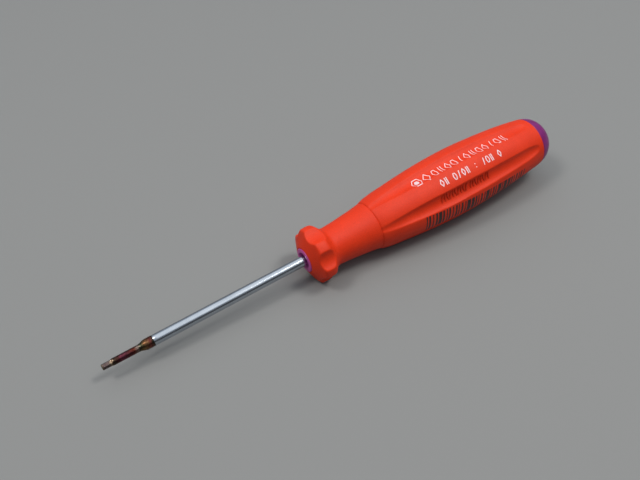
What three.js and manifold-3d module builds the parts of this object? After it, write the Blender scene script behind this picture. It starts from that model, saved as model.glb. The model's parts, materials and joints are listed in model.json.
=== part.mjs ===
// Precision hex-key screwdriver: a slim steel blade with a small hexagon end, moulded into a
// two-component handle. A hard plastic core shows as the ring at the nose and as the rounded
// cap at the butt, and a soft six-fluted grip is moulded over it.
//
// Millimetres. Every piece is drawn along its own axis, u, which runs from the hexagon's end
// face (u = 0) to the butt. The finished tool lies on the plane z = 0 on the lands each side of
// one flute, with the hexagon towards -X, and the origin is under the middle of its box.

import * as THREE from 'three';
import { mergeVertices } from 'three/addons/utils/BufferGeometryUtils.js';
import Module from 'manifold-3d';

// ---- driving dimensions: blade ----

const HEX_FLATS = 1.27;          // hexagon across its flats
const HEX_LENGTH = 2.4;          // hexagon with its run-out, measured from its end face
const HEX_TURN = -14;            // degrees from a corner straight up, about the u axis
const NECK_DIAMETER = 1.6;       // reduced neck behind the hexagon
const NECK_END = 8.65;
const CONE_END = 9.9;            // the cone from neck to shank ends here
const SHANK_DIAMETER = 2.5;
const NOSE_U = 50;               // where the handle's nose face is
const TANG_END = 88;             // end of the blade inside the handle
const WING_START = 62;           // flattened wings lock the tang against turning
const WING_LENGTH = 9;
const WING_SPAN = 4.2;
const WING_THICKNESS = 1.5;

// ---- driving dimensions: handle ----

const NOSE_RADIUS = 3.0;         // hard ring round the shank
const MOUTH_RADIUS = 2.0;        // recess in that ring
const MOUTH_DEPTH = 1.2;
const CREASE_U = 68.6;           // crease between the grip's neck and its fluted body
const CAP_U = 119.25;            // hard cap starts where the soft grip ends
const CAP_ROOT = 3;              // length of the cap's root, under the end of the grip
const CAP_ROOT_RADIUS = 4.9;
const BUTT_CENTRE_U = 117.35;    // the butt is half of a superellipse about this point
const BUTT_LENGTH = 6.9;
const BUTT_RADIUS = 6.58;
const BUTT_EXPONENT = 2.4;       // 2 would be an ellipse, more is squarer
const FIT_GAP = 0.3;             // clearance between neighbouring solids

// Grip outline over its lands, from nose to cap: distance along the axis, radius.
const FLANGE_OUTLINE = [
  [NOSE_U + 0.3, 3.5],
  [51.7, 6.4],
  [52.1, 6.85],
  [53.4, 6.97],
  [54.3, 6.9],
  [54.9, 6.65],
  [56.3, 5.2],
];
const NECK_OUTLINE = [
  [57.2, 4.82],
  [60, 4.95],
  [63, 5.25],
  [66.5, 5.63],
  [CREASE_U, 5.95],
];
const BODY_OUTLINE = [
  [CREASE_U, 6.05],
  [70, 6.45],
  [73.5, 6.98],
  [82, 7.86],
  [89, 8.32],
  [96, 8.45],
  [104, 8.1],
  [112, 7.46],
  [CAP_U, buttRadius(CAP_U)],
];

// Outside of the core where the grip covers it.
const BARREL_OUTLINE = [
  [NOSE_U, NOSE_RADIUS],
  [57, NOSE_RADIUS],
  [67, 3.9],
  [85, 5.4],
  [108, 5.4],
  [CAP_U - CAP_ROOT, CAP_ROOT_RADIUS],
];

// ---- flutes of the body and scallops of the flange: round cuts along the axis ----

const FLUTES = 6;                // the same number of scallops, in line with them
const FLUTE_OFFSET = 10.1;       // tool axis to the middle of the round cut
const SCALLOP_OFFSET = 9.35;
const SCALLOP_RADIUS = 3.57;

// Depth of a flute below the lands. It opens at the crease and ends short of the cap; a
// negative depth is a cut that has left the surface.
const FLUTE_DEPTHS = [
  [CREASE_U, 0.05],
  [73, 0.45],
  [79, 0.8],
  [88, 0.96],
  [104, 0.88],
  [112, 0.66],
  [115.5, 0.5],
  [117.5, -0.4],
];

// ---- resolution ----

const AROUND = 48;               // a segment edge lies along the middle of every land and flute
const BLADE_AROUND = 24;
const NECK_STEPS = 6;
const BODY_STEPS = 18;
const CAP_STEPS = 8;

// ---- helpers ----

const wasm = await Module();
wasm.setup();

// A solid of revolution about the u axis (X here), from [u, radius] points. A segment edge lies
// straight up.
function turned(outline, segments) {
  const points = outline.map(([u, radius]) => new THREE.Vector2(radius, u));
  return new THREE.LatheGeometry(points, segments).rotateZ(-Math.PI / 2);
}

// Closes an outline of [u, radius] points on the axis at both ends.
function closedOnAxis(outline) {
  const first = outline[0];
  const last = outline[outline.length - 1];
  return [[first[0], 0], ...outline, [last[0], 0]];
}

// A smooth curve through outline points, cut into equal steps.
function smooth(outline, steps) {
  const curve = new THREE.SplineCurve(outline.map(([u, radius]) => new THREE.Vector2(u, radius)));
  return curve.getPoints(steps).map((point) => [point.x, point.y]);
}

// The value of an outline at u, between its points.
function valueAt(outline, u) {
  const after = outline.findIndex((point) => point[0] > u);
  if (after < 0) return outline[outline.length - 1][1];
  if (after === 0) return outline[0][1];
  const [u0, value0] = outline[after - 1];
  const [u1, value1] = outline[after];
  return value0 + (value1 - value0) * (u - u0) / (u1 - u0);
}

// The radius of the superelliptical butt at u.
function buttRadius(u) {
  const share = Math.max(0, (u - BUTT_CENTRE_U) / BUTT_LENGTH);
  return BUTT_RADIUS * (1 - share ** BUTT_EXPONENT) ** (1 / BUTT_EXPONENT);
}

// A closed three.js geometry as a solid: shared corners merged, collapsed triangles dropped.
function toSolid(geometry) {
  const bare = new THREE.BufferGeometry();
  bare.setAttribute('position', geometry.getAttribute('position'));
  if (geometry.index) bare.setIndex(geometry.index);
  const merged = mergeVertices(bare, 1e-4);
  const corners = merged.index.array;
  const kept = [];
  for (let i = 0; i < corners.length; i += 3) {
    const [a, b, c] = [corners[i], corners[i + 1], corners[i + 2]];
    if (a !== b && b !== c && c !== a) kept.push(a, b, c);
  }
  return new wasm.Manifold(new wasm.Mesh({
    numProp: 3,
    vertProperties: new Float32Array(merged.getAttribute('position').array),
    triVerts: new Uint32Array(kept),
  }));
}

function toGeometry(solid) {
  const mesh = solid.getMesh();
  const geometry = new THREE.BufferGeometry();
  geometry.setAttribute('position', new THREE.BufferAttribute(mesh.vertProperties, 3));
  geometry.setIndex(new THREE.BufferAttribute(mesh.triVerts, 1));
  geometry.computeVertexNormals();
  return geometry;
}

// The same cut repeated round the axis, first one straight up.
function aroundAxis(makeCut, count) {
  const cuts = [];
  for (let i = 0; i < count; i += 1) {
    cuts.push(toSolid(makeCut().rotateX(i * 2 * Math.PI / count)));
  }
  return cuts;
}

function subtractAll(solid, cuts) {
  return cuts.reduce((left, cut) => left.subtract(cut), solid);
}

// ---- blade: hexagon, neck, shank and the winged tang hidden in the handle ----

// The steel bar's outline, grown by a clearance when it cuts its own seat.
function barOutline(clearance) {
  const neck = NECK_DIAMETER / 2 + clearance;
  const shank = SHANK_DIAMETER / 2 + clearance;
  return closedOnAxis([
    [HEX_LENGTH, neck],
    [NECK_END, neck],
    [CONE_END, shank],
    [TANG_END + clearance, shank],
  ]);
}

function wingBlock(clearance) {
  const block = new THREE.BoxGeometry(
    WING_LENGTH + 2 * clearance,
    WING_SPAN + 2 * clearance,
    WING_THICKNESS + 2 * clearance,
  );
  return block.translate(WING_START + WING_LENGTH / 2, 0, 0);
}

function hexagonEnd() {
  const corner = HEX_FLATS / Math.sqrt(3);
  const bevel = 0.12;
  const overlap = 0.5;
  return turned(closedOnAxis([
    [0, corner - bevel],
    [bevel, corner],
    [HEX_LENGTH + overlap, corner],
  ]), 6).rotateX(THREE.MathUtils.degToRad(HEX_TURN));
}

function makeBlade() {
  const bar = toSolid(turned(barOutline(0), BLADE_AROUND));
  return bar.add(toSolid(hexagonEnd())).add(toSolid(wingBlock(0)));
}

// ---- core: nose ring, barrel and rounded cap in one hard moulding ----

// The cap from its front edge round to the axis, in equal turns of the butt's superellipse.
function capDome(startU) {
  const power = 2 / BUTT_EXPONENT;
  const startTurn = Math.asin(((startU - BUTT_CENTRE_U) / BUTT_LENGTH) ** (1 / power));
  const points = [];
  for (let i = 0; i < CAP_STEPS; i += 1) {
    const turn = startTurn + (Math.PI / 2 - startTurn) * i / CAP_STEPS;
    const u = BUTT_CENTRE_U + BUTT_LENGTH * Math.sin(turn) ** power;
    points.push([u, buttRadius(u)]);
  }
  return [...points, [BUTT_CENTRE_U + BUTT_LENGTH, 0]];
}

function makeCore() {
  const outside = toSolid(turned([
    [NOSE_U, 0],
    ...BARREL_OUTLINE,
    [CAP_U + FIT_GAP, CAP_ROOT_RADIUS],
    ...capDome(CAP_U + FIT_GAP),
  ], AROUND));
  const bladeSeat = toSolid(turned(barOutline(FIT_GAP), BLADE_AROUND));
  const mouth = toSolid(turned(closedOnAxis([
    [NOSE_U - 1, MOUTH_RADIUS],
    [NOSE_U + MOUTH_DEPTH, MOUTH_RADIUS],
  ]), BLADE_AROUND));
  return subtractAll(outside, [bladeSeat, toSolid(wingBlock(FIT_GAP)), mouth]);
}

// ---- grip: soft moulding over the core, with a scalloped flange and six flutes ----

// The body's lands, at the stations that the flutes share with them.
const bodyLands = smooth(BODY_OUTLINE, BODY_STEPS);

function fluteCut() {
  const ahead = 0.5;
  const end = FLUTE_DEPTHS[FLUTE_DEPTHS.length - 1][0];
  const stations = [...bodyLands.map(([u]) => u).filter((u) => u < end), end];
  const outline = stations.map((u) => {
    const floor = valueAt(bodyLands, u) - valueAt(FLUTE_DEPTHS, u);
    return [u, FLUTE_OFFSET - floor];
  });
  const mouth = [CREASE_U - ahead, outline[0][1]];
  return turned(closedOnAxis([mouth, ...outline]), BLADE_AROUND).translate(0, 0, FLUTE_OFFSET);
}

function scallopCut() {
  const clear = 1;
  return turned(closedOnAxis([
    [NOSE_U - clear, SCALLOP_RADIUS],
    [NECK_OUTLINE[0][0] + clear, SCALLOP_RADIUS],
  ]), BLADE_AROUND).translate(0, 0, SCALLOP_OFFSET);
}

function makeGrip() {
  const outside = toSolid(turned(closedOnAxis([
    ...FLANGE_OUTLINE,
    ...smooth(NECK_OUTLINE, NECK_STEPS),
    ...bodyLands,
  ]), AROUND));
  const clear = 1;
  const inside = toSolid(turned(closedOnAxis([
    [NOSE_U - clear, NOSE_RADIUS + FIT_GAP],
    ...BARREL_OUTLINE.slice(1).map(([u, radius]) => [u, radius + FIT_GAP]),
    [CAP_U + clear, CAP_ROOT_RADIUS + FIT_GAP],
  ]), AROUND));
  const cuts = [inside, ...aroundAxis(fluteCut, FLUTES), ...aroundAxis(scallopCut, FLUTES)];
  return subtractAll(outside, cuts);
}

// ---- assembly ----

function piece(name, solid, colour, roughness, metalness) {
  const material = new THREE.MeshStandardMaterial({ color: colour, roughness, metalness });
  const mesh = new THREE.Mesh(toGeometry(solid), material);
  mesh.name = name;
  return mesh;
}

// The tilt that brings both the flange and the body down onto one plane: the steepest line from
// a flange corner to the body, for the flange corner where that line is least steep.
function restingTilt(gripGeometry) {
  const corners = gripGeometry.getAttribute('position');
  const flange = [];
  const body = [];
  for (let i = 0; i < corners.count; i += 1) {
    const point = [corners.getX(i), corners.getZ(i)];
    if (point[0] < NECK_OUTLINE[0][0]) flange.push(point);
    if (point[0] > CREASE_U) body.push(point);
  }
  const steepest = ([u, z]) => Math.max(...body.map(([bodyU, bodyZ]) => (z - bodyZ) / (bodyU - u)));
  return Math.atan(Math.min(...flange.map(steepest)));
}

const blade = piece('blade', makeBlade(), 0xc4c8ce, 0.25, 1.0);
const core = piece('handle_core', makeCore(), 0x6d1f73, 0.35, 0.0);
const grip = piece('soft_grip', makeGrip(), 0xe23a1c, 0.6, 0.0);

const handle = new THREE.Group();
handle.add(core, grip);

const tool = new THREE.Group();
tool.add(blade, handle);
tool.rotation.y = -restingTilt(grip.geometry);

// The tilted tool is stood on z = 0, with the origin under the middle of its box.
const box = new THREE.Box3().setFromObject(tool, true);
tool.position.set(-(box.min.x + box.max.x) / 2, -(box.min.y + box.max.y) / 2, -box.min.z);

const group = new THREE.Group();
group.add(tool);

export default group;
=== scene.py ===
import json
import math
from types import SimpleNamespace

import bpy
import numpy as np
from mathutils import Matrix, Vector


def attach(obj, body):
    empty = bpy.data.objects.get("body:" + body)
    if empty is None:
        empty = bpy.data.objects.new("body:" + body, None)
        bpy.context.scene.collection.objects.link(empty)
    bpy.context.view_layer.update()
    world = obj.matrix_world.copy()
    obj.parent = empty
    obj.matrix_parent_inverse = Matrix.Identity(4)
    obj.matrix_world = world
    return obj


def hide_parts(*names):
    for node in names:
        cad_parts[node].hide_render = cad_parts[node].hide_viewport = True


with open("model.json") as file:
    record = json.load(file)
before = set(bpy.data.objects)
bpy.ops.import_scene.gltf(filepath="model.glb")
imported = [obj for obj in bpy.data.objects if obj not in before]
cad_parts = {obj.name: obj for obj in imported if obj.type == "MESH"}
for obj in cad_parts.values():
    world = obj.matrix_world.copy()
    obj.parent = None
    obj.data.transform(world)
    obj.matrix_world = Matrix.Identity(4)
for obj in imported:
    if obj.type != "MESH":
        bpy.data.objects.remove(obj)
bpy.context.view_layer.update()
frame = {"record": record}

# Precision hex screwdriver. Every shape is drawn in the tool's own axes, in millimetres:
#   along   distance from the hexagon's end face towards the butt
#   turn    angle round the axis, in degrees, 0 straight up, positive towards the -Y side
# and goes to the frame's metres through tool_to_frame().

MM = 0.001


# ---------------------------------------------------------------- the tool's own axes

END_FACE = next(m for m in frame["record"]["mounts"] if m["name"] == "hex_end_face")
TIP = Vector(END_FACE["pos_m"])
ALONG = -Vector(END_FACE["axis"]).normalized()
SIDE = Vector((0, -1, 0))
UP = SIDE.cross(ALONG).normalized()
TILT = math.atan2(ALONG.z, ALONG.x)


def tool_to_frame(along, side, up):
    """Points in the tool's axes, in mm, as an array of points in the frame, in metres."""
    along, side, up = np.broadcast_arrays(along, side, up)
    axes = np.array([ALONG, SIDE, UP])
    return np.array(TIP) + MM * (np.stack([along, side, up], axis=-1) @ axes)


def around_axis(along, radius, turn):
    """Points at a radius and a turn, in degrees, round the tool's axis."""
    angle = np.radians(turn)
    return tool_to_frame(along, radius * np.sin(angle), radius * np.cos(angle))


# ---------------------------------------------------------------- driving dimensions, mm

HEX_FLATS = 1.27
HEX_LENGTH = 2.0            # where the flats start to run out into the neck
HEX_TURN = -14              # turn of the hexagon's top corner, degrees
HEX_BEVEL = 0.14
RUNOUT_SLOPE = 0.25         # how fast the flats climb to the neck
NECK_RADIUS = 0.8
NECK_END = 8.65
SHANK_START = 9.9
SHANK_RADIUS = 1.25
PLATE_START = 11.8          # chrome plating starts here, the steel ahead of it is bare
TANG_END = 88               # the blade's hidden end inside the handle
WINGS = (62.0, 71.0)        # the flattened stretch of the hidden tang
WING_SPAN = 4.2
WING_THICKNESS = 1.5
WING_BLEND = 0.6            # over which the round bar turns flat, at each end of the wings

NOSE = 50
NOSE_RADIUS = 3.0
CREASE = 68.6
CREASE_DEPTH = 0.1
CREASE_WIDTH = 0.15
CAP_START = 119.25
BUTT_CENTRE = 117.35        # the butt's curve is half of a stretched circle round this place
BUTT_LENGTH = 6.86
BUTT_RADIUS = 6.58
BUTT_FULLNESS = 2.4         # 2 would be an ellipse, more is squarer

# Outlines are (along, radius) of the lands.
FLANGE = [
    (50.25, 3.35), (50.5, 3.9), (51.1, 5.15), (51.7, 6.37), (51.9, 6.67), (52.15, 6.84),
    (52.6, 6.92), (53.4, 6.95), (54.2, 6.9), (54.8, 6.68), (55.4, 6.1), (56.2, 5.25),
    (56.8, 4.92), (57.5, 4.8),
]
FLANGE_START = FLANGE[0][0]
FLANGE_END = FLANGE[-1][0]
FLANGE_TOP = max(radius for _, radius in FLANGE)
NECK = [(FLANGE_END, 4.8), (60, 4.95), (63, 5.25), (66.5, 5.63), (68.5, 5.93)]
BODY = [
    (68.7, 6.05), (69.2, 6.22), (70, 6.45), (71.5, 6.72), (76, 7.25), (82, 7.86), (89, 8.31),
    (96, 8.43), (104, 8.1), (112, 7.46), (116, 6.96), (CAP_START, 6.47),
]

FLUTES = 6
SECTOR = 360 / FLUTES
FLUTE_DEPTH = [(CREASE, 0.16), (73, 0.45), (79, 0.8), (88, 0.96), (104, 0.88), (112, 0.66)]
FLUTE_HALF_WIDTH = [(CREASE, 6), (72, 9), (78, 12), (86, 13.3), (96, 13), (112, 12.2)]   # degrees
FLUTE_START = 68.55         # inside the crease
FLUTE_RUNOUT = (112.0, 117.6)       # the round end of each flute
FLUTE_END_WIDTH = 0.35      # share of its width that a flute still has at its very end
FLUTE_BITE = 1.15           # least depth of a flute, as a share of its own chord's depth
FLUTE_ROUNDING = 0.07       # of the edge between a land and a flute
SCALLOP_DEPTH = 1.17
SCALLOP_HALF_WIDTH = 19.0   # degrees
SCALLOP_ROUNDING = 0.2
CLEAR = 5                   # above the land, for a cut that misses it


# ---------------------------------------------------------------- profiles

def smooth_value(outline, at):
    """Cubic through the outline's points, with each slope taken from its neighbours."""
    places, values = np.array(outline, float).T
    slopes = np.gradient(values, places)
    at = np.asarray(at, float)
    i = np.clip(np.searchsorted(places, at, side="right") - 1, 0, len(places) - 2)
    width = places[i + 1] - places[i]
    t = np.clip((at - places[i]) / width, 0, 1)
    rest = 1 - t
    start = rest * rest * (values[i] * (1 + 2 * t) + slopes[i] * width * t)
    end = t * t * (values[i + 1] * (3 - 2 * t) - slopes[i + 1] * width * rest)
    return start + end


def butt_radius(along):
    share = (along - BUTT_CENTRE) / BUTT_LENGTH
    return BUTT_RADIUS * (1 - share ** BUTT_FULLNESS) ** (1 / BUTT_FULLNESS)


def land_radius(along):
    """Radius of the grip over its lands, from the flange to the cap."""
    ahead = np.where(along < FLANGE_END, smooth_value(FLANGE, along), smooth_value(NECK, along))
    plain = np.where(along > CREASE, smooth_value(BODY, along), ahead)
    return plain - CREASE_DEPTH * np.exp(-((along - CREASE) / CREASE_WIDTH) ** 2)


def off_centre(turn):
    """Degrees from the middle of the nearest flute."""
    return (turn + SECTOR / 2) % SECTOR - SECTOR / 2


def smaller_of(a, b, rounding):
    """The smaller of two radii, with the edge between them rounded."""
    blend = np.clip(0.5 + 0.5 * (b - a) / (2 * rounding), 0, 1)
    return b + (a - b) * blend - 2 * rounding * blend * (1 - blend)


def round_cut(radius, depth, half_width, turn):
    """Radius after a round cut along the axis, of a given depth and half width in degrees."""
    floor = radius - depth
    reach = radius * np.cos(np.radians(half_width)) - floor
    offset = (radius ** 2 - floor ** 2) / (2 * reach)
    cutter = offset - floor
    angle = np.radians(off_centre(turn))
    inside = cutter ** 2 - (offset * np.sin(angle)) ** 2
    cut = offset * np.cos(angle) - np.sqrt(np.maximum(inside, 0))
    return np.where(inside > 0, cut, radius + CLEAR)


def grip_radius(along, turn):
    """The outside of the grip, with its scallops, crease and flutes."""
    land = land_radius(along)
    start, end = FLUTE_RUNOUT
    run = np.clip((along - start) / (end - start), 0, 1)
    fade = np.sqrt(1 - run * run)
    narrowing = FLUTE_END_WIDTH + (1 - FLUTE_END_WIDTH) * fade
    half_width = smooth_value(FLUTE_HALF_WIDTH, along) * narrowing
    chord_depth = land * (1 - np.cos(np.radians(half_width)))
    depth = np.maximum(smooth_value(FLUTE_DEPTH, along) * fade, FLUTE_BITE * chord_depth)
    flute = round_cut(land, depth, half_width, turn)
    flute = np.where((along > FLUTE_START) & (along < end), flute, land + CLEAR)
    scallop = round_cut(FLANGE_TOP, SCALLOP_DEPTH, SCALLOP_HALF_WIDTH, turn)
    scallop = np.where(along < FLANGE_END, scallop, land + CLEAR)
    return smaller_of(smaller_of(land, flute, FLUTE_ROUNDING), scallop, SCALLOP_ROUNDING)


# ---------------------------------------------------------------- meshes

LOFT_SHARP = 40             # degrees between faces, from which their edge stays sharp
SLAB_SHARP = 35
HEXAGON_SHARP = 6


def mesh_piece(name, points, faces, sharp_angle):
    mesh = bpy.data.meshes.new(name)
    mesh.from_pydata([tuple(p) for p in points], [], faces)
    mesh.validate()
    mesh.shade_smooth()
    mesh.set_sharp_from_angle(angle=math.radians(sharp_angle))
    piece = bpy.data.objects.new(name, mesh)
    bpy.context.scene.collection.objects.link(piece)
    return piece


def ring_faces(rings, around, closed):
    """Quads between rings of points; closed joins the last ring to the first."""
    faces = []
    for i in range(rings if closed else rings - 1):
        here = i * around
        there = (i + 1) % rings * around
        for j in range(around):
            k = (j + 1) % around
            faces.append((here + j, here + k, there + k, there + j))
    return faces


def ring_loft(name, rings, capped=True, sharp_angle=LOFT_SHARP):
    """A closed skin over rings of points: capped at both ends, or a loop with a bore."""
    count, around = rings.shape[:2]
    points = list(rings.reshape(-1, 3))
    faces = ring_faces(count, around, closed=not capped)
    if capped:
        last = (count - 1) * around
        points.append(rings[0].mean(axis=0))
        points.append(rings[-1].mean(axis=0))
        first_pole, last_pole = count * around, count * around + 1
        for j in range(around):
            k = (j + 1) % around
            faces.append((first_pole, k, j))
            faces.append((last_pole, last + j, last + k))
    return mesh_piece(name, points, faces, sharp_angle)


def turns(around):
    return np.arange(around) * 360 / around


def rings_at(places, radius_at, around):
    """One ring of points for each place along the axis."""
    turn = turns(around)
    return np.stack([around_axis(along, radius_at(along, turn), turn) for along in places])


def plain_rings(outline, around):
    """Rings of a turned shape, from (along, radius) points."""
    return np.stack([around_axis(along, radius, turns(around)) for along, radius in outline])


def steps(*stretches):
    """Places along the axis, from (start, end, step) stretches; the last end is included."""
    places = []
    for start, end, step in stretches:
        count = max(1, round((end - start) / step))
        places.extend(start + (end - start) * i / count for i in range(count))
    return np.array(places + [stretches[-1][1]])


def rounded_corner(before, corner, after, radius, count=4):
    """Points of a small curve in place of a corner of an outline."""
    before, corner, after = (np.array(p, float) for p in (before, corner, after))
    start = corner + (before - corner) / np.linalg.norm(before - corner) * radius
    end = corner + (after - corner) / np.linalg.norm(after - corner) * radius
    curve = []
    for i in range(count + 1):
        t = i / count
        curve.append(tuple((1 - t) ** 2 * start + 2 * t * (1 - t) * corner + t * t * end))
    return curve


def soften(outline, radius, count):
    """The outline with every inner corner rounded."""
    out = [outline[0]]
    for before, corner, after in zip(outline, outline[1:], outline[2:]):
        out.extend(rounded_corner(before, corner, after, radius, count))
    return out + [outline[-1]]


# ---------------------------------------------------------------- grip

FIT = 0.02                  # left between pieces that touch, on the radius
CAP_ROOT_RADIUS = 4.9
CORE_OUTSIDE = [            # (along, radius) of the barrel under the grip
    (57, NOSE_RADIUS), (67, 3.9), (85, 5.4), (108, 5.4), (116, CAP_ROOT_RADIUS),
    (CAP_START, CAP_ROOT_RADIUS),
]
GRIP_AROUND = 288
CREASE_STRETCH = (68.2, 69.1)       # stretches of the grip that need closer rings
FLUTE_END_STRETCH = (111, 118.6)
GRIP_REAR_EDGE = (0.03, 0.12)       # along and in, for the bevel next to the cap
GRIP_FRONT_EDGE = [(0.9, FIT), (0.3, FIT), (0.2, 0.16)]     # back from the nose, out from the ring


def build_grip():
    crease_start, crease_end = CREASE_STRETCH
    ends_start, ends_end = FLUTE_END_STRETCH
    bevel_along, bevel_in = GRIP_REAR_EDGE
    places = steps(
        (FLANGE_START, FLANGE_END, 0.1), (FLANGE_END, crease_start, 0.4),
        (crease_start, crease_end, 0.06), (crease_end, ends_start, 0.45),
        (ends_start, ends_end, 0.2), (ends_end, CAP_START - bevel_along, 0.06),
    )
    outside = rings_at(places, grip_radius, GRIP_AROUND)
    bore = [(CAP_START, float(land_radius(CAP_START)) - bevel_in)]
    bore += [(along, radius + FIT) for along, radius in reversed(CORE_OUTSIDE)]
    bore += [(NOSE + back, NOSE_RADIUS + out) for back, out in GRIP_FRONT_EDGE]
    rings = np.concatenate([outside, plain_rings(bore, GRIP_AROUND)])
    return ring_loft("grip", rings, capped=False)


# ---------------------------------------------------------------- slabs laid on the grip

STROKE_STEP = 0.25


def slabs(name, outlines, turn, height, sunk):
    """Thin closed slabs that follow the grip, from a height above its surface to sunk below it.
    Each outline is a ladder of (left, right) points, in mm along the tool and mm round it from
    the given turn."""
    points, faces = [], []
    for ladder in outlines:
        first = len(points)
        for left, right in ladder:
            for along, across in (left, right):
                radius = float(grip_radius(along, turn))
                at = turn + math.degrees(across / radius)
                surface = float(grip_radius(along, at))
                points.append(around_axis(along, surface + height, at))
                points.append(around_axis(along, surface - sunk, at))
        faces.extend(slab_faces(first, len(ladder)))
    return mesh_piece(name, points, faces, SLAB_SHARP)


def slab_faces(first, rungs):
    """Faces of a slab whose rungs are left top, left bottom, right top, right bottom."""
    faces = []
    for i in range(rungs - 1):
        a, b = first + 4 * i, first + 4 * i + 4
        faces.append((a, a + 2, b + 2, b))
        faces.append((a + 1, b + 1, b + 3, a + 3))
        faces.append((a, b, b + 1, a + 1))
        faces.append((a + 2, a + 3, b + 3, b + 2))
    last = first + 4 * (rungs - 1)
    faces.append((first, first + 1, first + 3, first + 2))
    faces.append((last, last + 2, last + 3, last + 1))
    return faces


def stroke(points, width):
    """The ladder of a straight or bent stroke through 2-D points."""
    dense = []
    for start, end in zip(points, points[1:]):
        start, end = np.array(start, float), np.array(end, float)
        count = max(1, math.ceil(np.linalg.norm(end - start) / STROKE_STEP))
        dense.extend(start + (end - start) * i / count for i in range(count))
    dense.append(np.array(points[-1], float))
    ladder = []
    for i, point in enumerate(dense):
        ahead = dense[min(i + 1, len(dense) - 1)] - dense[max(i - 1, 0)]
        normal = np.array([-ahead[1], ahead[0]]) / np.linalg.norm(ahead) * width / 2
        ladder.append((tuple(point + normal), tuple(point - normal)))
    return ladder


# ---------------------------------------------------------------- ribs in one flute

RIB_TURN = 56
RIB_GROUPS = [(85.6, 10), (94.2, 8)]      # where each group starts, and how many ribs
RIB_PITCH = 0.8
RIB_LENGTH = 1.7
RIB_LEAN = 0.2              # how far each end of a leaning rib stands off its middle
RIB_WIDTH = 0.32
RIB_HEIGHT = 0.2
RIB_SUNK = 0.2


def rib_outline(middle, lean):
    half = RIB_LENGTH / 2
    return stroke([(middle - lean, -half), (middle + lean, half)], RIB_WIDTH)


def build_grip_ribs():
    """Small raised ribs on the floor of the flute that faces the -Y side."""
    outlines = []
    for start, count in RIB_GROUPS:
        for i in range(count):
            outlines.append(rib_outline(start + i * RIB_PITCH, (i % 3 - 1) * RIB_LEAN))
    return slabs("grip_flute_ribs", outlines, RIB_TURN, RIB_HEIGHT, RIB_SUNK)


# ---------------------------------------------------------------- print on the lands

# White print: a hexagon badge, a large diamond and two rows of plain geometric marks, none of
# them a letter.
INK_THICKNESS = 0.01
INK_SUNK = 0.03
BADGE_MIDDLE = 82.0
BADGE_RADIUS = 1.35
BADGE_CORE = 0.5            # radius of the solid hexagon, as a share of the outlined one's
BADGE_SLOPE = 2             # of the solid hexagon's slanting sides
BADGE_POINT = 0.02          # half height left at its two pointed ends
BADGE_STEPS = 8
DIAMOND_MIDDLE = 84.9
DIAMOND_HALF_SIZE = (0.95, 1.3)
BOLD_LINE = 0.2
UPPER_ROW = SimpleNamespace(turn=5, start=87.4, pitch=1.98, height=2.35, line=0.18)
LOWER_ROW = SimpleNamespace(turn=30.3, start=86.9, pitch=1.29, height=1.8, line=0.25)
MARK_SHARE = 0.7            # of the pitch, taken up by a mark
DOT_HALF_LENGTH = 0.12


def closed_shape(corners, centre, half_width, half_height):
    """Corners of a regular outline stretched to a width and a height, with the first repeated."""
    points = []
    for i in range(corners + 1):
        angle = math.radians(360 * i / corners)
        points.append((centre + half_width * math.cos(angle), half_height * math.sin(angle)))
    return points


def mark_strokes(kind, centre, width, height):
    """The strokes of one mark: hexagon, diamond, pair of bars, slanted bar or pair of dots."""
    half, top = width / 2, height / 2
    if kind == "hexagon":
        return [closed_shape(6, centre, half, top)]
    if kind == "diamond":
        return [closed_shape(4, centre, half, top)]
    if kind == "pair":
        return [[(centre + side * half / 2, -top), (centre + side * half / 2, top)]
                for side in (-1, 1)]
    if kind == "slant":
        return [[(centre - half / 2, top), (centre + half / 2, -top)]]
    return [[(centre - DOT_HALF_LENGTH, side * top / 2), (centre + DOT_HALF_LENGTH, side * top / 2)]
            for side in (-1, 1)]


def mark_row(row, kinds):
    """Ladders for a row of marks set at an even pitch; None leaves a gap."""
    ladders = []
    for i, kind in enumerate(kinds):
        if kind:
            centre = row.start + i * row.pitch
            for points in mark_strokes(kind, centre, row.pitch * MARK_SHARE, row.height):
                ladders.append(stroke(points, row.line))
    return ladders


def hexagon_badge():
    """A hexagon drawn in outline round a smaller solid one."""
    solid = []
    reach = BADGE_CORE * BADGE_RADIUS
    for i in range(BADGE_STEPS + 1):
        x = -reach + 2 * reach * i / BADGE_STEPS
        slant = (reach - abs(x)) * BADGE_SLOPE + BADGE_POINT
        half = min(reach * math.sin(math.radians(60)), slant)
        solid.append(((BADGE_MIDDLE + x, half), (BADGE_MIDDLE + x, -half)))
    outline = closed_shape(6, BADGE_MIDDLE, BADGE_RADIUS, BADGE_RADIUS)
    return [stroke(outline, BOLD_LINE), solid]


def build_upper_print():
    kinds = ["hexagon", "pair", "diamond", "hexagon", "slant", "diamond", "pair", "hexagon",
             "diamond", "slant", "hexagon", "pair"]
    diamond = closed_shape(4, DIAMOND_MIDDLE, *DIAMOND_HALF_SIZE)
    ladders = hexagon_badge() + [stroke(diamond, BOLD_LINE)] + mark_row(UPPER_ROW, kinds)
    return slabs("grip_print_upper", ladders, UPPER_ROW.turn, INK_THICKNESS, INK_SUNK)


def build_lower_print():
    kinds = ["diamond", "pair", None, "hexagon", "slant", "diamond", "pair", None, "dots", None,
             "slant", "hexagon", "pair", None, "diamond"]
    ladders = mark_row(LOWER_ROW, kinds)
    return slabs("grip_print_lower", ladders, LOWER_ROW.turn, INK_THICKNESS, INK_SUNK)


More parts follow.
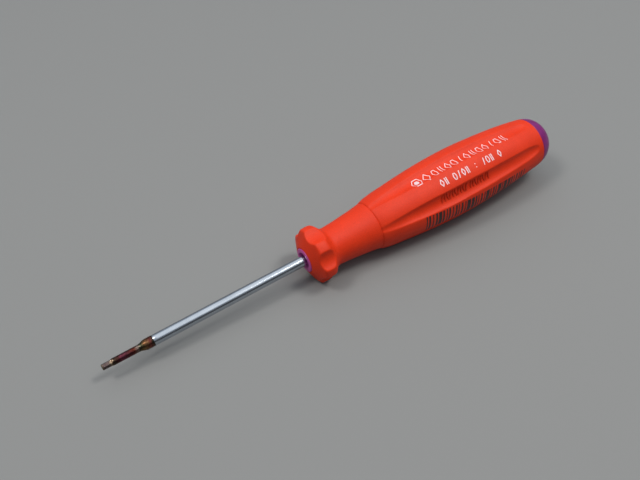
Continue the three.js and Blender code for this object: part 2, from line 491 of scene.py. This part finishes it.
# Dark bars on the next land: widths from a plain formula, so they spell nothing. Widths and
# gaps are counted in BAR_UNIT.
BAR_TURN = 92.5
BAR_LEAN = 0.05             # mm round the grip for each mm along it
BAR_FIELD = (80.0, 111.4)
BAR_LENGTH = 5.2
BAR_UNIT = 0.31
ODD_EXTRA = 0.6             # added to the width of every second bar
HEAVY_EXTRA = 1.9           # added to most bars of a heavy group
HEAVY_BARS = [(82.4, 84.6), (91.4, 93.4), (96.8, 98.2), (101.6, 106.4)]
HEAVY_GAP = 1
LIGHT_GAP = 1.2
LIGHT_GAP_EXTRA = 0.7       # added to two gaps of every three


def build_bars():
    ladders = []
    field_start, field_end = BAR_FIELD
    at = field_start
    i = 0
    while at < field_end:
        heavy = any(start < at < end for start, end in HEAVY_BARS)
        width = BAR_UNIT * (1 + i % 2 * ODD_EXTRA + (HEAVY_EXTRA if heavy and i % 3 else 0))
        middle = at + width / 2
        across = BAR_LEAN * (middle - field_start)
        ends = [(middle, across - BAR_LENGTH / 2), (middle, across + BAR_LENGTH / 2)]
        ladders.append(stroke(ends, width))
        at += width + BAR_UNIT * (HEAVY_GAP if heavy else LIGHT_GAP + i * i % 3 * LIGHT_GAP_EXTRA)
        i += 1
    return slabs("grip_print_bars", ladders, BAR_TURN, INK_THICKNESS, INK_SUNK)


# ---------------------------------------------------------------- core

CORE_AROUND = 192
POLE_RADIUS = 0.02          # of a last ring, next to the axis
POCKET_FIT = 0.05           # round the wings, on the radius
END_FIT = 0.1               # past each end of the wings and the tang
MOUTH = [(1.15, 1.6), (0.25, 1.9), (0, 2.1)]        # the recess round the shank: (depth, radius)
NOSE_ROUNDING = 0.28
CAP_FACE = (0.02, 0.03)     # the cap's face behind CAP_START, at its root and at its rim
CAP_BEVEL = 0.1             # at the cap's rim
CAP_SWING = (10.0, 86.5)    # first and last swing along the cap's curve, in degrees
CAP_STEPS = 43
GATE = [                    # the dimple in the butt: (along from the cap's last ring, radius)
    (0.01, 0.8), (-0.14, 0.72), (-0.15, 0.5), (-0.03, 0.42), (-0.01, POLE_RADIUS),
]


def blade_bore():
    """The core's bore, from the end of the tang to the nose."""
    bore = SHANK_RADIUS + FIT
    pocket = WING_SPAN / 2 + POCKET_FIT
    start, end = WINGS
    return [
        (TANG_END + END_FIT, POLE_RADIUS), (TANG_END + END_FIT, bore),
        (end + END_FIT, bore), (end + END_FIT, pocket),
        (start - END_FIT, pocket), (start - END_FIT, bore),
        (NOSE + MOUTH[0][0], bore),
    ]


def cap_outline():
    """The cap from its face to the gate in the middle of the butt."""
    root_face, rim_face = CAP_FACE
    rim = (CAP_START + rim_face, butt_radius(CAP_START) - CAP_BEVEL)
    outline = [(CAP_START + root_face, CAP_ROOT_RADIUS), rim]
    first, last = CAP_SWING
    for i in range(CAP_STEPS + 1):
        swing = math.radians(first + (last - first) * i / CAP_STEPS)
        along = BUTT_CENTRE + BUTT_LENGTH * math.sin(swing) ** (2 / BUTT_FULLNESS)
        if along > CAP_START + CAP_BEVEL:
            outline.append((along, butt_radius(along)))
    cap_end = outline[-1][0]
    return outline + [(cap_end + past, radius) for past, radius in GATE]


def build_core():
    """Nose ring, hidden barrel and cap, with a bore for the blade: one turned moulding."""
    mouth = [(NOSE + depth, radius) for depth, radius in MOUTH]
    nose_edge = rounded_corner(mouth[-1], (NOSE, NOSE_RADIUS), CORE_OUTSIDE[0], NOSE_ROUNDING)
    outline = blade_bore() + mouth + nose_edge + CORE_OUTSIDE[:-1] + cap_outline()
    return ring_loft("handle_core_moulding", plain_rings(outline, CORE_AROUND))


# ---------------------------------------------------------------- blade

BLADE_AROUND = 96
CONE_ROUNDING = 0.45
BARE_OUTLINE = soften([
    (0, NECK_RADIUS), (NECK_END, NECK_RADIUS), (SHANK_START, SHANK_RADIUS),
    (PLATE_START, SHANK_RADIUS),
], CONE_ROUNDING, count=8)
RUNOUT_END = 3.0            # the flats are gone before here
CONE_STRETCH = (8.1, 10.4)  # the cone with its two rounded ends
PLATE_GAP = 0.003           # between the bare tip and the plated bar
PLATE_EDGE = (0.05, 0.02)   # along and in, for the bevel at the front of the plating
TANG_BEVEL = 0.4
NEARLY_ZERO = 1e-6


def hexagon_radius(flats, turn):
    """Radius of the hexagon, which has a corner at HEX_TURN."""
    from_face = (turn - HEX_TURN) % 60 - 30
    return flats / 2 / np.cos(np.radians(from_face))


def tip_radius(along, turn):
    """The hexagon, its bevel and its run-out, held inside the bar they are cut from."""
    places, radii = np.array(BARE_OUTLINE).T
    bar = np.interp(along, places, radii)
    runout = 2 * max(0.0, along - HEX_LENGTH) * RUNOUT_SLOPE
    bevel = 2 * max(0.0, HEX_BEVEL - along)
    return np.minimum(bar, hexagon_radius(HEX_FLATS + runout - bevel, turn))


def build_tip():
    cone_start, cone_end = CONE_STRETCH
    places = steps(
        (0, HEX_BEVEL, HEX_BEVEL), (HEX_BEVEL, HEX_LENGTH, 0.36),
        (HEX_LENGTH, RUNOUT_END, 0.05), (RUNOUT_END, cone_start, 0.6),
        (cone_start, cone_end, 0.05), (cone_end, PLATE_START, 0.3),
    )
    rings = rings_at(places, tip_radius, BLADE_AROUND)
    return ring_loft("blade_bare_tip", rings, sharp_angle=HEXAGON_SHARP)


def shank_radius(along, turn):
    """Round, apart from the wings pressed flat inside the handle."""
    start, end = WINGS
    pressed = np.clip(min(along - start, end - along) / WING_BLEND, 0, 1)
    angle = np.radians(turn)
    flat = WING_THICKNESS / 2 / np.maximum(np.abs(np.cos(angle)), NEARLY_ZERO)
    wide = WING_SPAN / 2 / np.maximum(np.abs(np.sin(angle)), NEARLY_ZERO)
    return SHANK_RADIUS + pressed * (np.minimum(flat, wide) - SHANK_RADIUS)


def build_shank():
    """The plated bar, from the edge of the plating to the end of the hidden tang."""
    start, end = WINGS
    edge_along, edge_in = PLATE_EDGE
    places = steps(
        (PLATE_START + edge_along, NOSE, 1.0), (NOSE, start, 3.0),
        (start, start + WING_BLEND, 0.1), (start + WING_BLEND, end - WING_BLEND, 1.0),
        (end - WING_BLEND, end, 0.1), (end, TANG_END - TANG_BEVEL, 4.0),
    )
    front = plain_rings([(PLATE_START + PLATE_GAP, SHANK_RADIUS - edge_in)], BLADE_AROUND)
    bar = rings_at(places, shank_radius, BLADE_AROUND)
    back = plain_rings([(TANG_END, SHANK_RADIUS - TANG_BEVEL)], BLADE_AROUND)
    return ring_loft("blade_plated_shank", np.concatenate([front, bar, back]))


# ---------------------------------------------------------------- material tools

def material_nodes(name):
    """A fresh material: its node tree, its shader, and a coordinate in the tool's axes in mm
    (X along the tool)."""
    material = bpy.data.materials.new(name)
    material.use_nodes = True
    tree = material.node_tree
    shader = tree.nodes["Principled BSDF"]
    place = tree.nodes.new("ShaderNodeTexCoord")
    to_tool = tree.nodes.new("ShaderNodeMapping")
    to_tool.inputs["Scale"].default_value = (1 / MM, 1 / MM, 1 / MM)
    to_tool.inputs["Rotation"].default_value = (0, TILT, 0)
    origin = Matrix.Rotation(TILT, 3, "Y") @ TIP
    to_tool.inputs["Location"].default_value = -origin / MM
    tree.links.new(place.outputs["Object"], to_tool.inputs["Vector"])
    return SimpleNamespace(
        material=material, tree=tree, shader=shader, mm=to_tool.outputs["Vector"],
    )


def along_tool(made):
    """Distance along the tool from the hexagon's end face, in mm."""
    split = made.tree.nodes.new("ShaderNodeSeparateXYZ")
    made.tree.links.new(made.mm, split.inputs["Vector"])
    return split.outputs["X"]


def noise(made, scale, detail, roughness=0.5, stretch=(1, 1, 1), distortion=0.0):
    """Noise with a number of features per mm; stretch scales each axis first."""
    stretched = made.tree.nodes.new("ShaderNodeVectorMath")
    stretched.operation = "MULTIPLY"
    stretched.inputs[1].default_value = stretch
    made.tree.links.new(made.mm, stretched.inputs[0])
    texture = made.tree.nodes.new("ShaderNodeTexNoise")
    texture.inputs["Scale"].default_value = scale
    texture.inputs["Detail"].default_value = detail
    texture.inputs["Roughness"].default_value = roughness
    texture.inputs["Distortion"].default_value = distortion
    made.tree.links.new(stretched.outputs["Vector"], texture.inputs["Vector"])
    return texture.outputs["Fac"]


def ramp(made, source, stops):
    """Colours over a value, from (value, colour) stops."""
    node = made.tree.nodes.new("ShaderNodeValToRGB")
    elements = node.color_ramp.elements
    while len(elements) < len(stops):
        elements.new(0.5)
    for element, (place, colour) in zip(elements, stops):
        element.position = place
        element.color = (*colour, 1)
    made.tree.links.new(source, node.inputs["Fac"])
    return node.outputs["Color"]


def to_range(made, source, low, high, from_low=0.0, from_high=1.0):
    """The value from_low becomes low, and from_high becomes high."""
    node = made.tree.nodes.new("ShaderNodeMapRange")
    node.inputs["From Min"].default_value = from_low
    node.inputs["From Max"].default_value = from_high
    node.inputs["To Min"].default_value = low
    node.inputs["To Max"].default_value = high
    made.tree.links.new(source, node.inputs["Value"])
    return node.outputs["Result"]


def mix_colour(made, factor, first, second, mode="MIX"):
    """Second over first. Each value is a socket, or a number or a colour."""
    node = made.tree.nodes.new("ShaderNodeMix")
    node.data_type = "RGBA"
    node.blend_type = mode
    factor_socket, first_socket, second_socket = node.inputs[0], node.inputs[6], node.inputs[7]
    for socket, value in (
        (factor_socket, factor), (first_socket, first), (second_socket, second),
    ):
        if hasattr(value, "is_output"):
            made.tree.links.new(value, socket)
        elif socket == factor_socket:
            socket.default_value = value
        else:
            socket.default_value = (*value, 1)
    return node.outputs[2]


def bump(made, layers, depth):
    """Joins (height socket, strength) layers, of a depth in mm, into one normal."""
    normal = None
    for height, strength in layers:
        node = made.tree.nodes.new("ShaderNodeBump")
        node.inputs["Strength"].default_value = strength
        node.inputs["Distance"].default_value = depth * MM
        made.tree.links.new(height, node.inputs["Height"])
        if normal is not None:
            made.tree.links.new(normal, node.inputs["Normal"])
        normal = node.outputs["Normal"]
    made.tree.links.new(normal, made.shader.inputs["Normal"])


def set_inputs(made, **values):
    """Sets or links the shader's inputs, named with _ for each space."""
    for name, value in values.items():
        socket = made.shader.inputs[name.replace("_", " ")]
        if hasattr(value, "is_output"):
            made.tree.links.new(value, socket)
        else:
            socket.default_value = value


# ---------------------------------------------------------------- materials

# Colours of the bare tip, by share of the way from the hexagon's end face to the plating.
# Mostly temper and oxide colours; the pale stops at 0.19-0.215 (run-out) and 0.68 are painted
# highlights.
TEMPER_AND_PAINTED_HIGHLIGHTS = [
    (0.0, (0.17, 0.13, 0.07)), (0.042, (0.13, 0.095, 0.095)), (0.15, (0.13, 0.095, 0.09)),
    (0.19, (0.34, 0.27, 0.2)), (0.215, (0.24, 0.185, 0.13)), (0.235, (0.06, 0.045, 0.03)),
    (0.33, (0.1, 0.03, 0.03)), (0.41, (0.18, 0.045, 0.075)), (0.5, (0.1, 0.03, 0.035)),
    (0.6, (0.13, 0.03, 0.018)), (0.68, (0.26, 0.19, 0.16)), (0.735, (0.06, 0.065, 0.04)),
    (0.83, (0.2, 0.12, 0.05)), (0.9, (0.18, 0.05, 0.04)), (1.0, (0.05, 0.06, 0.045)),
]
TEMPER_DRIFT = 0.9          # how far the temper colours wander along the tool, mm either way


def elastomer(name, tone=1.0):
    """Soft orange-red grip: fine mould grain and faint cloudiness; a tone below 1 darkens it as
    painted shade.
    """
    made = material_nodes(name)
    cloud = noise(made, 0.22, detail=3)
    low = (0.71 * tone, 0.031 * tone, 0.003 * tone)
    high = (0.77 * tone, 0.037 * tone, 0.005 * tone)
    colour = ramp(made, cloud, [(0.3, low), (0.7, high)])
    grain = noise(made, 5.5, detail=3, roughness=0.6)
    speck = ramp(made, grain, [(0.38, (0.86, 0.86, 0.86)), (0.6, (1, 1, 1))])
    base = mix_colour(made, 1.0, colour, speck, mode="MULTIPLY")
    rough = to_range(made, noise(made, 1.3, detail=4), 0.5, 0.6)
    set_inputs(made, Base_Color=base, Roughness=rough, Specular_IOR_Level=0.28)
    bump(made, [(grain, 0.5), (noise(made, 0.7, detail=2), 0.35)], 0.025)
    return made.material


def hard_plastic():
    """Purple core: satin gloss with a faint flow pattern, and painted light that makes it paler
    towards the nose.
    """
    made = material_nodes("core_plastic")
    flow = noise(made, 0.5, detail=4, distortion=0.6)
    base = ramp(made, flow, [(0.3, (0.155, 0.012, 0.12)), (0.7, (0.205, 0.019, 0.162))])
    # Painted light: the nose ring is mixed towards a paler purple, in place of the light it
    # catches.
    painted_light_at_nose = to_range(made, along_tool(made), 0.75, 0, NOSE + 1, NOSE + 3)
    colour = mix_colour(made, painted_light_at_nose, base, (0.6, 0.085, 0.36))
    rough = to_range(made, noise(made, 2.4, detail=3), 0.27, 0.4)
    set_inputs(made, Base_Color=colour, Roughness=rough, Specular_IOR_Level=0.3)
    bump(made, [(noise(made, 4.5, detail=3), 0.3), (flow, 0.25)], 0.02)
    return made.material


def chrome_plate():
    """Plated shank: bright, with fine grinding rings under the plate and a few long scratches."""
    made = material_nodes("chrome_plate")
    rings = noise(made, 9, detail=3, stretch=(1, 0.05, 0.05))
    scratch = noise(made, 6, detail=4, roughness=0.7, stretch=(0.12, 1, 1))
    tone = noise(made, 0.35, detail=2, stretch=(1, 0.6, 0.6))
    base = ramp(made, tone, [(0.3, (0.4, 0.437, 0.485)), (0.7, (0.46, 0.497, 0.55))])
    rough = to_range(made, scratch, 0.16, 0.27, 0.3, 0.75)
    set_inputs(made, Base_Color=base, Metallic=1.0, Roughness=rough)
    bump(made, [(rings, 0.15), (scratch, 0.2)], 0.003)
    return made.material


def burnished_steel():
    """Unplated tip: oil-brown steel with drifting temper colours, two painted highlight bands and a
    dull grain.
    """
    made = material_nodes("burnished_steel")
    wander = noise(made, 0.7, detail=3, distortion=0.8)
    drift = made.tree.nodes.new("ShaderNodeMath")
    drift.operation = "ADD"
    shift = to_range(made, wander, -TEMPER_DRIFT, TEMPER_DRIFT, 0.2, 0.8)
    made.tree.links.new(along_tool(made), drift.inputs[0])
    made.tree.links.new(shift, drift.inputs[1])
    place = to_range(made, drift.outputs["Value"], 0, 1, 0, PLATE_START)
    base = ramp(made, place, TEMPER_AND_PAINTED_HIGHLIGHTS)
    mottle = noise(made, 3.2, detail=4, roughness=0.65)
    dirt = ramp(made, mottle, [(0.37, (0.4, 0.37, 0.36)), (0.6, (1.0, 1.0, 1.0))])
    colour = mix_colour(made, 1.0, base, dirt, mode="MULTIPLY")
    rough = to_range(made, mottle, 0.22, 0.38)
    set_inputs(made, Base_Color=colour, Metallic=1.0, Roughness=rough)
    grinding = noise(made, 9, detail=2, stretch=(1, 0.1, 0.1))
    bump(made, [(mottle, 0.5), (grinding, 0.5)], 0.01)
    return made.material


def ink(name, colour, worn):
    """Pad-printed ink: slightly uneven cover."""
    made = material_nodes(name)
    cover = noise(made, 6, detail=4, roughness=0.7)
    base = ramp(made, cover, [(0.3, worn), (0.5, colour)])
    set_inputs(made, Base_Color=base, Roughness=to_range(made, cover, 0.45, 0.62))
    bump(made, [(noise(made, 5.5, detail=3), 0.4)], 0.02)
    return made.material


# ---------------------------------------------------------------- stage, light and camera

CAMERA_AT = (-2.1, 96.1, 131.6)       # along, side and up, in mm
CAMERA_AIM = (56.52, -3.1, 0.0)
CAMERA_ROLL = 3.7                     # degrees, clockwise seen from behind the camera
CAMERA_LENS = 41.63                   # mm
CAMERA_FILM = 36                      # mm wide
CAMERA_NEAR = 0.005                   # metres

# Lights: name, place and size in metres, power in watts, colour. Each one faces the origin.
LIGHTS = [
    ("overhead", (0.2, 0.05, 0.8), (1.4, 0.9), 2.2, (1, 0.98, 0.95)),
    ("left", (-0.3, 0.1, 0.6), (0.16, 0.16), 1.5, (1, 0.97, 0.92)),
    ("right", (0.27, -0.14, 0.6), (0.16, 0.16), 1.7, (1, 0.97, 0.92)),
]
ROOM_UP = (0, 0.22, 0.97)             # towards the lightest part of the room
ROOM_SHADES = [(0.2, (0.12, 0.125, 0.13)), (0.85, (0.87, 0.94, 1.03))]    # by height along ROOM_UP
ROOM_STRENGTH = 0.7
FLOOR_HALF = 1.2                      # metres
FLOOR_COLOUR = (0.216, 0.219, 0.217, 1)


def build_camera():
    data = bpy.data.cameras.new("camera")
    data.sensor_width = CAMERA_FILM
    data.lens = CAMERA_LENS
    data.clip_start = CAMERA_NEAR
    camera = bpy.data.objects.new("camera", data)
    at = Vector(tool_to_frame(*CAMERA_AT))
    forward = (Vector(tool_to_frame(*CAMERA_AIM)) - at).normalized()
    right = forward.cross(UP).normalized()
    up = right.cross(forward)
    roll = math.radians(CAMERA_ROLL)
    rolled_right = right * math.cos(roll) - up * math.sin(roll)
    rolled_up = right * math.sin(roll) + up * math.cos(roll)
    turn = Matrix((rolled_right, rolled_up, -forward)).transposed()
    camera.matrix_world = Matrix.Translation(at) @ turn.to_4x4()
    bpy.context.scene.collection.objects.link(camera)
    bpy.context.scene.camera = camera


def area_light(name, location, size, power, colour):
    data = bpy.data.lights.new(name, "AREA")
    data.shape = "RECTANGLE"
    data.size, data.size_y = size
    data.energy = power
    data.color = colour
    lamp = bpy.data.objects.new(name, data)
    lamp.location = location
    lamp.rotation_euler = (-Vector(location)).to_track_quat("-Z", "Y").to_euler()
    bpy.context.scene.collection.objects.link(lamp)


def build_room():
    """A plain room round the object, dark below and light above."""
    world = bpy.data.worlds.new("room")
    world.use_nodes = True
    tree = world.node_tree
    background = tree.nodes["Background"]
    background.inputs["Strength"].default_value = ROOM_STRENGTH
    direction = tree.nodes.new("ShaderNodeTexCoord")
    height = tree.nodes.new("ShaderNodeVectorMath")
    height.operation = "DOT_PRODUCT"
    height.inputs[1].default_value = ROOM_UP
    shade = tree.nodes.new("ShaderNodeValToRGB")
    for element, (place, colour) in zip(shade.color_ramp.elements, ROOM_SHADES):
        element.position = place
        element.color = (*colour, 1)
    tree.links.new(direction.outputs["Generated"], height.inputs[0])
    tree.links.new(height.outputs["Value"], shade.inputs["Fac"])
    tree.links.new(shade.outputs["Color"], background.inputs["Color"])
    bpy.context.scene.world = world


def build_floor():
    corners = [(-FLOOR_HALF, -FLOOR_HALF, 0), (FLOOR_HALF, -FLOOR_HALF, 0),
               (FLOOR_HALF, FLOOR_HALF, 0), (-FLOOR_HALF, FLOOR_HALF, 0)]
    mesh = bpy.data.meshes.new("floor")
    mesh.from_pydata(corners, [], [(0, 1, 2, 3)])
    floor = bpy.data.objects.new("floor", mesh)
    bpy.context.scene.collection.objects.link(floor)
    material = bpy.data.materials.new("pale_floor")
    material.use_nodes = True
    shader = material.node_tree.nodes["Principled BSDF"]
    shader.inputs["Base Color"].default_value = FLOOR_COLOUR
    shader.inputs["Roughness"].default_value = 0.8
    mesh.materials.append(material)


# ---------------------------------------------------------------- assembly

def fit_out(piece, material, node=None):
    """Gives a piece its material and its body, and hides the CAD node it stands for."""
    piece.data.materials.append(material)
    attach(piece, "root")
    if node:
        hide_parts(node)


def build_tool():
    red = elastomer("grip_elastomer")
    # Darker copy of the red for the ribs: painted shade on the moulded marks.
    shaded_red = elastomer("grip_elastomer_painted_shade_marks", tone=0.7)
    white = ink("white_ink", colour=(0.75, 0.62, 0.66), worn=(0.76, 0.34, 0.32))
    black = ink("black_ink", colour=(0.022, 0.008, 0.007), worn=(0.12, 0.012, 0.008))
    fit_out(build_grip(), red, "soft_grip")
    fit_out(build_grip_ribs(), shaded_red)
    fit_out(build_core(), hard_plastic(), "handle_core")
    fit_out(build_shank(), chrome_plate(), "blade")
    fit_out(build_tip(), burnished_steel(), "blade")
    fit_out(build_upper_print(), white)
    fit_out(build_lower_print(), white)
    fit_out(build_bars(), black)


build_camera()
for light in LIGHTS:
    area_light(*light)
build_room()
build_floor()
build_tool()
bpy.context.scene.view_settings.view_transform = "Standard"
